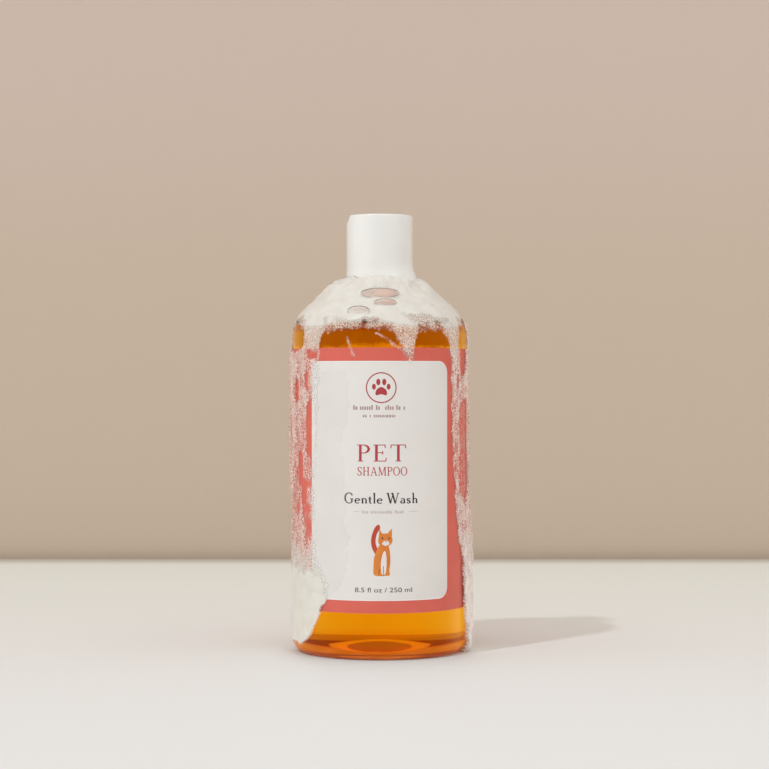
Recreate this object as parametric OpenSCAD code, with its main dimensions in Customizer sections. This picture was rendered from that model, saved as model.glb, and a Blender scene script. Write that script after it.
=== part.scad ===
// Round clear bottle with a threaded neck, a wrapped label and a disc-top cap.
// Origin: centre of the standing ring, on the table. +Z is up and -Y is the front of the label.

/* [Bottle] */
// Outer diameter of the round body
body_d = 57.5; // [50:0.5:70]
// Height of the straight wall, where the shoulder starts
shoulder_z = 104; // [90:1:130]
// Rise of the domed shoulder, from the wall to the neck
shoulder_rise = 14.6; // [11:0.2:20]
// Thickness of the blown body wall
wall = 0.6; // [0.4:0.05:1]
// Thickness of the base
base_t = 1.6; // [1:0.1:2.5]
// Radius of the heel, between the wall and the base
heel_r = 4; // [3:0.5:6]
// Width of the ring that the bottle stands on
foot_w = 3.5; // [2:0.5:5]
// Rise of the pushed-up base at its centre
push_up = 3; // [1:0.5:5]

/* [Neck] */
// Outer diameter of the neck, at the root of the thread
neck_d = 17.6; // [15:0.2:22]
// Thickness of the neck's wall
neck_wall = 1.4; // [1:0.1:2]
// Height of the neck, from the top of the shoulder to the rim
neck_h = 15.4; // [13:0.2:18]
// Fillet between the shoulder and the neck
neck_fillet = 1.6; // [1:0.2:2]
// How far the neck's thread stands out
thread_h = 1.1; // [0.8:0.1:1.3]
// Advance of the thread in one turn
thread_pitch = 3.175; // [2.6:0.005:3.9]
// Length of the neck's thread, in turns
thread_turns = 1.5; // [1:0.25:2]

/* [Cap] */
// Thickness of the cap's skirt
skirt_t = 0.9; // [0.7:0.05:1.5]
// Thickness of the wall around the disc
head_wall = 1.5; // [1.2:0.1:2]
// Gap between the shoulder and the cap's skirt
cap_gap = 1; // [0.5:0.1:2]
// Gap between the neck's thread and the cap's bore
skirt_clearance = 0.2; // [0.15:0.05:0.3]
// How far the cap's thread stands in
cap_thread_h = 0.95; // [0.7:0.05:1]
// Thickness of the deck over the neck
deck_t = 1.4; // [1:0.1:2]
// Radius of the hole that the shampoo leaves by
orifice_r = 1; // [0.8:0.1:1.2]
// Thickness of the tube around that hole
tube_wall = 1.6; // [1:0.1:2]
// Depth of the thumb notch in the rim
notch_depth = 3; // [2:0.25:3.25]
// Radius of the thumb notch
notch_r = 6; // [4:0.5:8]

/* [Disc] */
// Thickness of the disc
disc_t = 3.5; // [3:0.1:3.8]
// Gap between the disc and the cap's wall
disc_clearance = 0.15; // [0.1:0.05:0.3]
// Angle that the disc tilts to open
disc_open = 28; // [24:1:32]
// Gap under the disc's edge when it is open
disc_floor_gap = 0.6; // [0.3:0.05:1.5]
// Radius of the rounded seal under the disc, about its pivot
saddle_r = 5; // [4.4:0.1:5.4]
// Width of that seal
saddle_w = 6; // [5:0.5:8]
// Gap between the seal and its seat on the tube
saddle_clearance = 0.08; // [0.05:0.01:0.15]
// Radius of the pivot pins
pin_r = 0.9; // [0.7:0.05:1]
// Length of a pin inside the cap's wall
pin_reach = 0.8; // [0.5:0.1:0.9]
// Running clearance around a pin
pin_clearance = 0.05; // [0.02:0.01:0.1]
// Depth of the thumb dish
dish_depth = 0.8; // [0.4:0.1:1]
// Radius of the thumb dish's ball shape
dish_r = 9; // [7:0.5:12]

/* [Liner] */
// Thickness of the foam sealing ring
liner_t = 0.8; // [0.5:0.1:1.2]
// Radius of the ring's hole
liner_hole_r = 5; // [4:0.5:6.5]

/* [Label] */
// Height of the label's lower edge above the table
label_z = 15.2; // [8:0.2:20]
// Gap between the label's upper edge and the shoulder
label_gap = 3.8; // [1:0.2:30]
// Thickness of the film
film_t = 0.1; // [0.08:0.01:0.2]
// Thickness of the adhesive under the film
glue_t = 0.03; // [0.02:0.01:0.05]
// Width of the overlap at the back
seam_w = 6; // [3:1:10]

/* [Shampoo] */
// Depth of the liquid's surface below the foot of the neck
headspace = 10.8; // [2:0.2:30]
// Gap drawn between the liquid and the wall
fill_gap = 0.05; // [0.03:0.01:0.1]

/* [Hidden] */

body_r = body_d / 2;
neck_r = neck_d / 2;
bore_r = neck_r - neck_wall;
crest_r = neck_r + thread_h;
shoulder_top = shoulder_z + shoulder_rise;
neck_top = shoulder_top + neck_h;
inner_fillet = neck_r + neck_fillet - bore_r; // rounding inside the foot of the neck
rim_round = 0.4;         // rounding of the neck's rim
bead_r = crest_r - 0.2;  // small bead under the thread
bead_z = 2;              // its height above the shoulder
bead_h = 1;

cap_bottom = shoulder_top + cap_gap;
cap_bore_r = crest_r + skirt_clearance;
cap_r = cap_bore_r + skirt_t;
head_r = cap_r - head_wall;
disc_r = head_r - disc_clearance;
// The disc's lower edge swings down by this much when it opens.
deck_drop = disc_r * sin(disc_open) + disc_t / 2 * cos(disc_open) + disc_floor_gap;
deck_z = neck_top + liner_t;
pivot_z = deck_z + deck_t + deck_drop;
cap_top = pivot_z + disc_t / 2;
cap_edge = 0.5;          // rounding of the cap's outer edges
skirt_lead = 0.4;        // chamfer inside the skirt's lower edge

thread_root = 0.315 * thread_pitch;      // half width of the neck's thread at its root
thread_crest = 0.142 * thread_pitch;     // and at its crest
cap_thread_root = 0.252 * thread_pitch;
cap_thread_crest = 0.11 * thread_pitch;
cap_thread_turns = 1.25;
thread_play = 0.12;      // gap between the threads' bearing flanks
thread_below_rim = 1.5;  // depth of the thread's upper end below the rim
thread_step = 12;        // degrees between the thread's sections
thread_sunk = 0.3;       // how deep a thread's root is set in its wall
run_out = 40;            // degrees over which a thread's ends fade away
arc_steps = 12;

thread_top = neck_top - thread_below_rim - thread_root;
thread_z = thread_top - thread_turns * thread_pitch;

// The half widths of the two threads where they pass, and the drop that leaves the play between them.
pass_r = neck_r + thread_h - cap_thread_h + skirt_clearance;
neck_half_there = thread_root - (thread_root - thread_crest) * (pass_r - neck_r) / thread_h;
thread_drop = neck_half_there + cap_thread_crest + thread_play;

// Points on an arc or an ellipse's arc, from angle a to angle b.
function arc(cx, cz, rx, rz, a, b, steps = arc_steps) =
    [for (i = [0 : steps]) let (t = a + (b - a) * i / steps) [cx + rx * cos(t), cz + rz * sin(t)]];

// The pushed-up middle of the base: a shallow cosine dome, raised by lift.
function base_dome(edge_r, rise, lift, steps = arc_steps) =
    [for (i = [0 : steps - 1]) let (r = edge_r * i / steps) [r, lift + rise * (1 + cos(180 * r / edge_r)) / 2]];

// The bottle's outside, from the middle of the base up to the foot of the neck.
function outside() = concat(
    base_dome(body_r - heel_r - foot_w, push_up, 0),
    [[body_r - heel_r - foot_w, 0]],
    arc(body_r - heel_r, heel_r, heel_r, heel_r, -90, 0),
    arc(neck_r + neck_fillet, shoulder_z, body_r - neck_r - neck_fillet, shoulder_rise, 0, 90, 3 * arc_steps),
    arc(neck_r + neck_fillet, shoulder_top + neck_fillet, neck_fillet, neck_fillet, -90, -180));

// The inside of the body, inset from the wall by more for the liquid than for the bottle itself.
function cavity(inset) = concat(
    base_dome(body_r - heel_r - foot_w, push_up, base_t + inset),
    arc(body_r - heel_r, base_t + heel_r - wall, heel_r - wall - inset, heel_r - wall - inset, -90, 0),
    arc(neck_r + neck_fillet, shoulder_z, body_r - neck_r - neck_fillet - wall - inset,
        shoulder_rise - wall - inset, 0, 90, 3 * arc_steps));

// The same path with its repeated points left out.
function path(points) =
    [for (i = [0 : len(points) - 1]) if (i == 0 || norm(points[i] - points[i - 1]) > 0.001) points[i]];

function reversed(list) = [for (i = [len(list) - 1 : -1 : 0]) list[i]];

// One section of a thread: four corners at a turning angle, with its height faded by k.
function thread_section(angle, z, sunk_r, tip_r, half_root, half_tip) = [
    for (c = [[sunk_r, -half_root], [tip_r, -half_tip], [tip_r, half_tip], [sunk_r, half_root]])
        [c[0] * cos(angle), c[0] * sin(angle), z + c[1]]];

// A right-handed thread on a wall of radius root_r. It stands out for a positive height and in for a negative one.
module thread(root_r, height, half_root, half_tip, turns, z, start = 0) {
    side = sign(height);
    steps = round(360 * turns / thread_step);
    fade = round(run_out / thread_step);
    sections = [for (i = [0 : steps])
        let (k = min(1, i / fade, (steps - i) / fade))
        thread_section(start + 360 * turns * i / steps, z + thread_pitch * turns * i / steps,
            root_r - side * thread_sunk,
            root_r - side * thread_sunk * (1 - k) / 2 + k * height, half_root, half_tip)];
    ends = side < 0 ? [[0, 1, 2], [0, 2, 3]] : [[0, 2, 1], [0, 3, 2]];
    sides = [for (i = [0 : steps - 1], c = [0 : 3])
        let (p = 4 * i + c, q = 4 * i + (c + 1) % 4)
        each side < 0 ? [[p, p + 4, q], [q, p + 4, q + 4]] : [[p, q, p + 4], [q, q + 4, p + 4]]];
    polyhedron(
        points = [for (s = sections) each s],
        faces = concat(ends, sides, [for (f = ends) [for (c = [2, 1, 0]) 4 * steps + f[c]]]));
}

module bottle_blank() {
    rotate_extrude($fn = 128)
        polygon(path(concat(
            outside(),
            [[neck_r, shoulder_top + bead_z], [bead_r, shoulder_top + bead_z + 0.2],
             [bead_r, shoulder_top + bead_z + bead_h - 0.2], [neck_r, shoulder_top + bead_z + bead_h]],
            arc(neck_r - rim_round, neck_top - rim_round, rim_round, rim_round, 0, 90, 4),
            arc(bore_r + rim_round, neck_top - rim_round, rim_round, rim_round, 90, 180, 4),
            arc(bore_r + inner_fillet, shoulder_top - wall + inner_fillet, inner_fillet, inner_fillet, 180, 270),
            reversed(cavity(0)))));
}

module bottle() color([0.93, 0.95, 0.95, 0.35]) {
    bottle_blank();
    thread(neck_r, thread_h, thread_root, thread_crest, thread_turns, thread_z);
}

module shampoo() color([0.9, 0.5, 0.05, 0.85]) {
    intersection() {
        rotate_extrude($fn = 128) polygon(concat(cavity(fill_gap), [[0, shoulder_top - wall - fill_gap]]));
        cylinder(h = shoulder_top - headspace, r = body_r, $fn = 128);
    }
}

module wrap_label() color([0.83, 0.37, 0.33]) {
    film_r = body_r + glue_t;
    seam = 360 * seam_w / (2 * PI * body_r);
    label_h = shoulder_z - label_gap - label_z;
    translate([0, 0, label_z]) {
        rotate_extrude($fn = 128) translate([film_r, 0]) square([film_t, label_h]);
        rotate_extrude(angle = seam, start = 90, $fn = 128) translate([film_r, 0]) square([2 * film_t, label_h]);
    }
}

module cap_wall() {
    rotate_extrude($fn = 128)
        polygon(concat(
            [[cap_bore_r + skirt_lead, cap_bottom]],
            arc(cap_r - cap_edge / 2, cap_bottom + cap_edge / 2, cap_edge / 2, cap_edge / 2, -90, 0, 4),
            arc(cap_r - cap_edge, cap_top - cap_edge, cap_edge, cap_edge, 0, 90, 6),
            [[head_r, cap_top], [head_r, deck_z + deck_t], [0, deck_z + deck_t], [0, deck_z],
             [cap_bore_r, deck_z], [cap_bore_r, cap_bottom + skirt_lead]]));
}

module cap_shell() color([0.93, 0.92, 0.9]) {
    difference() {
        union() {
            cap_wall();
            translate([0, 0, deck_z + deck_t / 2])
                cylinder(h = deck_drop + deck_t / 2, r = orifice_r + tube_wall, $fn = 64);
        }
        translate([0, 0, deck_z - 1]) cylinder(h = deck_drop + deck_t + 1, r = orifice_r, $fn = 48);
        translate([0, 0, pivot_z]) rotate([90, 0, 0]) {
            cylinder(h = saddle_w + 2, r = saddle_r + saddle_clearance, center = true, $fn = 96);
            cylinder(h = 2 * (head_r + pin_reach + pin_clearance), r = pin_r + pin_clearance, center = true, $fn = 48);
        }
        translate([-cap_r - 1, 0, cap_top - notch_depth + notch_r]) rotate([0, 90, 0])
            cylinder(h = 1 + cap_r - head_r + cap_edge, r = notch_r, $fn = 96);
    }
    thread(cap_bore_r, -cap_thread_h, cap_thread_root, cap_thread_crest, cap_thread_turns, thread_z - thread_drop);
}

module cap_disc() color([0.95, 0.94, 0.92]) {
    translate([0, 0, pivot_z]) difference() {
        union() {
            intersection() {
                cylinder(h = disc_t, r = disc_r, center = true, $fn = 96);
                sphere(r = disc_r, $fn = 96);
            }
            intersection() {
                rotate([90, 0, 0]) cylinder(h = saddle_w, r = saddle_r, center = true, $fn = 96);
                translate([0, 0, -saddle_r]) cube([2 * saddle_r, saddle_w, 2 * saddle_r], center = true);
            }
            rotate([90, 0, 0]) cylinder(h = 2 * (head_r + pin_reach), r = pin_r, center = true, $fn = 48);
        }
        translate([-disc_r / 2, 0, disc_t / 2 + dish_r - dish_depth]) sphere(r = dish_r, $fn = 96);
        rotate([0, 90, 0]) cylinder(h = disc_r + 1, r = orifice_r, $fn = 48);
        rotate([0, 180 + disc_open, 0]) cylinder(h = saddle_r + 1, r = orifice_r, $fn = 48);
        sphere(r = orifice_r, $fn = 48);
    }
}

module seal_liner() color([0.97, 0.97, 0.96]) {
    translate([0, 0, neck_top]) difference() {
        cylinder(h = liner_t, r = cap_bore_r - 2 * skirt_clearance, $fn = 96);
        translate([0, 0, -1]) cylinder(h = liner_t + 2, r = liner_hole_r, $fn = 64);
    }
}

bottle();
shampoo();
wrap_label();
cap_shell();
cap_disc();
seal_liner();
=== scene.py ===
import math
import random
import bpy
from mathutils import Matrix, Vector, noise


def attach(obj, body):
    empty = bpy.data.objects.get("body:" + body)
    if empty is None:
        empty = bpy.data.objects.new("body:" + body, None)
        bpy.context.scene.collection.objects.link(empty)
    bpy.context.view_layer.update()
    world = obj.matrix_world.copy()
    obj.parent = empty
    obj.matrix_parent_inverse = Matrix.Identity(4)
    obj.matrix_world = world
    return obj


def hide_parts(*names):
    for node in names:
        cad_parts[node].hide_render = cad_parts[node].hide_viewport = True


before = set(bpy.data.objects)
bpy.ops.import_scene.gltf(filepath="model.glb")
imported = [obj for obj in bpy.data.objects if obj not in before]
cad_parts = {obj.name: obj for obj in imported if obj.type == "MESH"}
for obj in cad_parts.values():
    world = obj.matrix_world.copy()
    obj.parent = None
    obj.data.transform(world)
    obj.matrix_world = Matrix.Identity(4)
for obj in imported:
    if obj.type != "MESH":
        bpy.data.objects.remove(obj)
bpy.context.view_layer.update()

mm = 0.001

# Sizes that several pieces share, the same as the solid model's, in mm
bottleSize = {
    "bodyR": 28.75, "shoulderZ": 104, "shoulderRise": 14.6, "wall": 0.6, "baseT": 1.6, "heelR": 4,
    "footW": 3.5, "pushUp": 3, "neckR": 8.8, "neckWall": 1.4, "neckH": 15.4, "neckFillet": 1.6,
    "beadR": 9.7, "beadZ": 2, "headspace": 10.8,
}
shoulderTop = bottleSize["shoulderZ"] + bottleSize["shoulderRise"]
neckTop = shoulderTop + bottleSize["neckH"]
filmR = 28.88  # outside of the label's film
capR = 11
weld = 0.002 * mm


# Working by hand: selecting, drawing an outline and turning it

def clearSelection():
    if bpy.context.object and bpy.context.object.mode != "OBJECT":
        bpy.ops.object.mode_set(mode="OBJECT")
    bpy.ops.object.select_all(action="DESELECT")


def pick(piece):
    clearSelection()
    piece.select_set(True)
    bpy.context.view_layer.objects.active = piece


def editAll():
    bpy.ops.object.mode_set(mode="EDIT")
    bpy.ops.mesh.select_all(action="SELECT")


def leaveEdit():
    bpy.ops.object.mode_set(mode="OBJECT")


def editFaces(piece, wanted):
    # into edit mode with only the wanted faces selected
    bpy.ops.object.mode_set(mode="EDIT")
    bpy.ops.mesh.select_all(action="DESELECT")
    leaveEdit()
    for face in piece.data.polygons:
        face.select = wanted(face)
    bpy.ops.object.mode_set(mode="EDIT")


def facesIn(face):
    return face.normal.x * face.center.x + face.normal.y * face.center.y < 0


def applyPlace():
    bpy.ops.object.transform_apply(location=True, rotation=True, scale=True)


def named(name):
    piece = bpy.context.object
    piece.name = piece.data.name = name
    return piece


def newMesh(name, points, faces):
    mesh = bpy.data.meshes.new(name)
    mesh.from_pydata(points, [], faces)
    piece = bpy.data.objects.new(name, mesh)
    bpy.context.collection.objects.link(piece)
    pick(piece)
    return piece


def newGrid(name, columns, rows):
    clearSelection()
    bpy.ops.mesh.primitive_grid_add(x_subdivisions=columns, y_subdivisions=rows, size=2)
    return named(name)


def arc(cx, cz, rx, rz, a, b, steps=12):
    turn = [math.radians(a + (b - a) * i / steps) for i in range(steps + 1)]
    return [(cx + rx * math.cos(t), cz + rz * math.sin(t)) for t in turn]


def withoutRepeats(points):
    kept = []
    for p in points:
        if not kept or math.hypot(p[0] - kept[-1][0], p[1] - kept[-1][1]) > 0.001:
            kept.append(p)
    return kept


def turned(name, outline, steps=160, sweep=360, start=0):
    # one point is drawn into an outline by extruding it, and the outline is spun round the axis
    clearSelection()
    bpy.ops.mesh.primitive_plane_add(size=mm)
    piece = named(name)
    editAll()
    bpy.ops.mesh.merge(type="CENTER")
    here, way = Vector(), Vector((math.cos(math.radians(start)), math.sin(math.radians(start)), 0))
    for i, (r, z) in enumerate(withoutRepeats(outline)):
        there = (way * r + Vector((0, 0, z))) * mm
        if i == 0:
            bpy.ops.transform.translate(value=there - here)
        else:
            bpy.ops.mesh.extrude_region_move(TRANSFORM_OT_translate={"value": there - here})
        here = there
    bpy.ops.mesh.select_all(action="SELECT")
    bpy.ops.mesh.spin(steps=steps, angle=math.radians(sweep), center=(0, 0, 0), axis=(0, 0, 1))
    bpy.ops.mesh.select_all(action="SELECT")
    bpy.ops.mesh.remove_doubles(threshold=weld)
    if sweep < 360:
        bpy.ops.mesh.fill_holes(sides=0)
        bpy.ops.mesh.select_all(action="SELECT")
    bpy.ops.mesh.normals_make_consistent(inside=False)
    leaveEdit()
    return piece


def smoothCopy(name, node):
    # a copy of a solid part with its loose triangles joined, so that it can be shaded smoothly
    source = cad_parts[node]
    mesh = source.data.copy()
    piece = bpy.data.objects.new(name, mesh)
    piece.matrix_world = source.matrix_world
    bpy.context.collection.objects.link(piece)
    mesh.materials.clear()
    pick(piece)
    applyPlace()
    editAll()
    bpy.ops.mesh.customdata_custom_splitnormals_clear()
    bpy.ops.mesh.remove_doubles(threshold=weld)
    leaveEdit()
    return piece


def settle(piece, material, smooth=35, stands=(), body="bottle_body"):
    # the last step for each piece: its finish, its shading, and the body that it moves with
    pick(piece)
    applyPlace()
    piece.data.materials.clear()
    piece.data.materials.append(material)
    for face in piece.data.polygons:
        face.material_index = 0
    bpy.ops.object.shade_smooth_by_angle(angle=math.radians(smooth))
    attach(piece, body)
    if stands:
        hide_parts(*stands)
    return piece


# Shared finishes, as node groups

def feed(tree, socket, value):
    # a socket takes a link or a fixed value
    if isinstance(value, bpy.types.NodeSocket):
        tree.links.new(value, socket)
    elif socket.type == "RGBA" and len(value) == 3:
        socket.default_value = (*value, 1)
    else:
        socket.default_value = value


def setInputs(tree, node, **values):
    for label, value in values.items():
        feed(tree, node.inputs[label.replace("_", " ")], value)
    return node


def addNode(tree, kind, **values):
    return setInputs(tree, tree.nodes.new(kind), **values)


def newGroup(name, inputs, outputs):
    group = bpy.data.node_groups.new(name, "ShaderNodeTree")
    for label, kind, value in inputs:
        made = group.interface.new_socket(label, in_out="INPUT", socket_type=kind)
        if value is not None:
            made.default_value = value
    for label, kind in outputs:
        group.interface.new_socket(label, in_out="OUTPUT", socket_type=kind)
    return group, group.nodes.new("NodeGroupInput").outputs, group.nodes.new("NodeGroupOutput")


def noiseNode(tree, vector, scale, detail=3, roughness=0.5, stretch=None):
    if stretch:
        vector = addNode(tree, "ShaderNodeMapping", Vector=vector, Scale=stretch).outputs["Vector"]
    return addNode(tree, "ShaderNodeTexNoise", Vector=vector, Scale=scale, Detail=detail,
                   Roughness=roughness).outputs["Fac"]


def mathNode(tree, operation, *values, clamp=False):
    node = tree.nodes.new("ShaderNodeMath")
    node.operation, node.use_clamp = operation, clamp
    for socket, value in zip(node.inputs, values):
        feed(tree, socket, value)
    return node.outputs[0]


def product(tree, *values):
    result = values[0]
    for value in values[1:]:
        result = mathNode(tree, "MULTIPLY", result, value)
    return result


def rangeNode(tree, value, low, high, toLow=0.0, toHigh=1.0, smooth=True):
    node = addNode(tree, "ShaderNodeMapRange", Value=value, From_Min=low, From_Max=high, To_Min=toLow,
                   To_Max=toHigh)
    node.interpolation_type = "SMOOTHSTEP" if smooth else "LINEAR"
    return node.outputs["Result"]


def mixColor(tree, factor, a, b):
    node = tree.nodes.new("ShaderNodeMix")
    node.data_type = "RGBA"
    feed(tree, node.inputs["Factor"], factor)
    for label, value in (("A", a), ("B", b)):
        feed(tree, [s for s in node.inputs if s.name == label and s.type == "RGBA"][0], value)
    return [s for s in node.outputs if s.type == "RGBA"][0]


def makeMouldedGrain():
    # moulded or printed plastic: a faint drift of tone, a fine grain, and gloss that varies a little
    group, given, result = newGroup("mouldedGrain", [
        ("Vector", "NodeSocketVector", None), ("Color", "NodeSocketColor", (0.8, 0.8, 0.8, 1)),
        ("Shade", "NodeSocketColor", (0.7, 0.7, 0.7, 1)), ("Gloss", "NodeSocketFloat", 0.3),
        ("Grain Size", "NodeSocketFloat", 900.0)],
        [("Color", "NodeSocketColor"), ("Roughness", "NodeSocketFloat"), ("Height", "NodeSocketFloat")])
    drift = noiseNode(group, given["Vector"], 90, 3)
    wear = mathNode(group, "MULTIPLY_ADD", drift, 0.12, -0.06)
    setInputs(group, result,
              Color=mixColor(group, rangeNode(group, drift, 0.3, 0.75), given["Color"], given["Shade"]),
              Roughness=mathNode(group, "ADD", given["Gloss"], wear, clamp=True),
              Height=noiseNode(group, given["Vector"], given["Grain Size"], 4, 0.6))
    return group


def makeLatherCells():
    # soap bubbles: the films between them stay white, and their middles open where the lather is thin
    group, given, result = newGroup("latherCells", [
        ("Vector", "NodeSocketVector", None), ("Cover", "NodeSocketFloat", 1.0),
        ("Cell Size", "NodeSocketFloat", 900.0)],
        [("Alpha", "NodeSocketFloat"), ("Height", "NodeSocketFloat"), ("Shade", "NodeSocketFloat")])
    warp = noiseNode(group, given["Vector"], 260, 2)

    def cells(scale, wide):
        texture = group.nodes.new("ShaderNodeTexVoronoi")
        texture.feature = "DISTANCE_TO_EDGE"
        middle = setInputs(group, texture, Vector=given["Vector"], Scale=scale).outputs["Distance"]
        return rangeNode(group, middle, 0.04, wide, 1.0, 0.0), rangeNode(group, middle, 0.0, 0.45)

    films, rise = cells(given["Cell Size"], 0.16)
    fineFilms, fineRise = cells(1900, 0.20)
    drift = mathNode(group, "MULTIPLY_ADD", warp, 0.30, -0.15)
    here = rangeNode(group, given["Cover"], 0.04, 0.2)
    cover = mathNode(group, "ADD", given["Cover"], product(group, drift, here))
    dense = rangeNode(group, cover, 0.58, 0.95, 0.0, 0.98)
    lace = product(group, films, rangeNode(group, cover, 0.14, 0.36, 0.0, 0.92))
    fineLace = product(group, fineFilms, rangeNode(group, cover, 0.30, 0.62, 0.0, 0.9))
    haze = rangeNode(group, cover, 0.05, 0.70, 0.0, 0.52, False)
    lines = mathNode(group, "MAXIMUM", lace, fineLace)
    height = mathNode(group, "ADD", product(group, rise, 0.6), product(group, fineRise, 0.3))
    setInputs(group, result,
              Alpha=mathNode(group, "MAXIMUM", mathNode(group, "MAXIMUM", dense, lines), haze),
              Height=product(group, height, rangeNode(group, cover, 0.6, 1.0, 1.0, 0.08)),
              Shade=rangeNode(group, warp, 0.3, 0.7))
    return group


mouldedGrain = makeMouldedGrain()
latherCells = makeLatherCells()


def newMaterial(name, **settings):
    material = bpy.data.materials.new(name)
    material.use_nodes = True
    tree = material.node_tree
    return material, tree, setInputs(tree, tree.nodes["Principled BSDF"], **settings)


def objectPlace(tree):
    # object coordinates, whole and taken apart
    place = tree.nodes.new("ShaderNodeTexCoord").outputs["Object"]
    return place, addNode(tree, "ShaderNodeSeparateXYZ", Vector=place).outputs


def attributeNode(tree, name):
    node = tree.nodes.new("ShaderNodeAttribute")
    node.attribute_name = name
    return node.outputs["Fac"]


def outputNode(tree):
    return [n for n in tree.nodes if n.type.startswith("OUTPUT")][0]


def groupNode(tree, shared, **values):
    node = tree.nodes.new("ShaderNodeGroup")
    node.node_tree = shared
    return setInputs(tree, node, Vector=objectPlace(tree)[0], **values).outputs


def bumped(tree, height, strength, distance):
    node = addNode(tree, "ShaderNodeBump", Height=height, Strength=strength, Distance=distance)
    return node.outputs["Normal"]


def grainMaterial(name, color, shade, gloss, size=900.0, bump=0.1, depth=0.00002, covered=False, **settings):
    # a covered one is as solid as the mesh's "cover" says at each point
    material, tree, shader = newMaterial(name, **settings)
    grain = groupNode(tree, mouldedGrain, Color=color, Shade=shade, Gloss=gloss, Grain_Size=size)
    setInputs(tree, shader, Base_Color=grain["Color"], Roughness=grain["Roughness"],
              Normal=bumped(tree, grain["Height"], bump, depth))
    if covered:
        setInputs(tree, shader, Alpha=attributeNode(tree, "cover"))
    return material


def clearPlastic(name, bends):
    # clear; in the heel a painted amber tint and a painted glow, in streaks that run round it,
    # stand in for the lit liquid seen through the base
    material, tree, shader = newMaterial(name, IOR=bends, Transmission_Weight=1.0, Emission_Strength=1.0,
                                         Specular_Tint=(0.2, 0.12, 0.06))
    place, at = objectPlace(tree)
    heel = rangeNode(tree, at["Z"], 0.0015, 0.0062, 1.0, 0.0)
    # painted shade: the thicker ring above the heel is darkened and cooled on the front
    ring = product(tree, rangeNode(tree, at["Z"], 0.0068, 0.0078, 1.0, 0.0),
                   rangeNode(tree, at["Z"], 0.0030, 0.0048),
                   rangeNode(tree, at["Y"], -0.012, -0.004, 1.0, 0.0))
    wall = mixColor(tree, ring, (0.985, 0.99, 0.985), (0.83, 0.86, 0.95))
    # painted glow: amber emission in the heel, in streaks
    streaks = rangeNode(tree, noiseNode(tree, place, 150, 3, stretch=(1, 1, 5)), 0.38, 0.72)
    glow = mixColor(tree, streaks, (0.018, 0.003, 0.002), (0.085, 0.020, 0.008))
    setInputs(tree, shader, Base_Color=mixColor(tree, heel, wall, (0.83, 0.55, 0.44)),
              Emission_Color=mixColor(tree, heel, (0.0, 0.0, 0.0), glow),
              Roughness=rangeNode(tree, noiseNode(tree, place, 300, 3), 0.4, 0.8, 0.0, 0.05),
              Normal=bumped(tree, noiseNode(tree, place, 60, 2, stretch=(1, 1, 0.5)), 0.05, 0.0001))
    return material


def amberLiquid():
    material, tree, shader = newMaterial(
        "amberLiquid", Base_Color=(1, 1, 1), IOR=1.36, Roughness=0.0, Specular_Tint=(0.5, 0.25, 0.05),
        Transmission_Weight=1.0, Emission_Strength=1.0)
    absorb = addNode(tree, "ShaderNodeVolumeAbsorption", Color=(0.995, 0.85, 0.04), Density=125)
    setInputs(tree, outputNode(tree), Volume=absorb.outputs["Volume"])
    place, at = objectPlace(tree)
    sides = rangeNode(tree, mathNode(tree, "ABSOLUTE", at["X"]), 0.0205, 0.0275)
    cloud = rangeNode(tree, noiseNode(tree, place, 45, 2), 0.3, 0.7)
    # painted glow: the liquid's emission, brighter at the sides, in the band above the label, and in the
    # middle of the base, where little light comes through
    top = product(tree, rangeNode(tree, at["Z"], 0.098, 0.101),
                  rangeNode(tree, at["Z"], 0.1052, 0.1064, 1.0, 0.0))
    fromAxis = mathNode(tree, "ADD", mathNode(tree, "POWER", at["X"], 2), mathNode(tree, "POWER", at["Y"], 2))
    base = product(tree, rangeNode(tree, fromAxis, 0.00010, 0.00022, 1.0, 0.0),
                   rangeNode(tree, at["Z"], 0.0048, 0.006, 1.0, 0.0))
    # painted glow colours: a cloudy amber all over, lighter at the top band, the base and the sides
    amber = mixColor(tree, cloud, (0.035, 0.011, 0.0), (0.058, 0.021, 0.0))
    amber = mixColor(tree, top, amber, (0.118, 0.043, 0.0))
    amber = mixColor(tree, base, amber, (0.38, 0.12, 0.01))
    edge = mixColor(tree, top, (0.17, 0.075, 0.006), (0.255, 0.165, 0.003))
    setInputs(tree, shader, Emission_Color=mixColor(tree, sides, amber, edge),
              Normal=bumped(tree, noiseNode(tree, place, 40, 2), 0.04, 0.0001))
    return material


def latherMaterial(name, cell, bump, light, dark, thin):
    material, tree, shader = newMaterial(
        name, Subsurface_Weight=0.4, Subsurface_Scale=0.0015, Roughness=0.28,
        Subsurface_Radius=(1.0, 0.9, 0.8), IOR=1.33)
    cover = attributeNode(tree, "cover")
    cells = groupNode(tree, latherCells, Cell_Size=cell, Cover=cover)
    # painted bounce light: thin lather takes a tint from light that comes through it off the coral and
    # amber under it, and stays pale on the panel
    thinBounceColor = mixColor(tree, attributeNode(tree, "bounceWarmth"), (0.93, 0.91, 0.88), thin)
    thickColor = mixColor(tree, cells["Shade"], light, dark)
    setInputs(tree, shader, Alpha=cells["Alpha"],
              Base_Color=mixColor(tree, rangeNode(tree, cover, 0.4, 0.9, 1.0, 0.0), thickColor, thinBounceColor),
              Normal=bumped(tree, cells["Height"], bump, 0.00025))
    return material


def bubbleFilm():
    material, tree, shader = newMaterial("bubbleFilm", Base_Color=(0.93, 0.92, 0.90), IOR=1.33)
    # painted reflection: the film is more solid, so whiter, where it is seen edge on
    facing = addNode(tree, "ShaderNodeLayerWeight", Blend=0.35).outputs["Facing"]
    gloss = noiseNode(tree, objectPlace(tree)[0], 700, 2)
    setInputs(tree, shader, Alpha=rangeNode(tree, facing, 0.25, 1.0, 0.10, 0.85),
              Roughness=rangeNode(tree, gloss, 0.3, 0.7, 0.02, 0.12))
    return material


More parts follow.
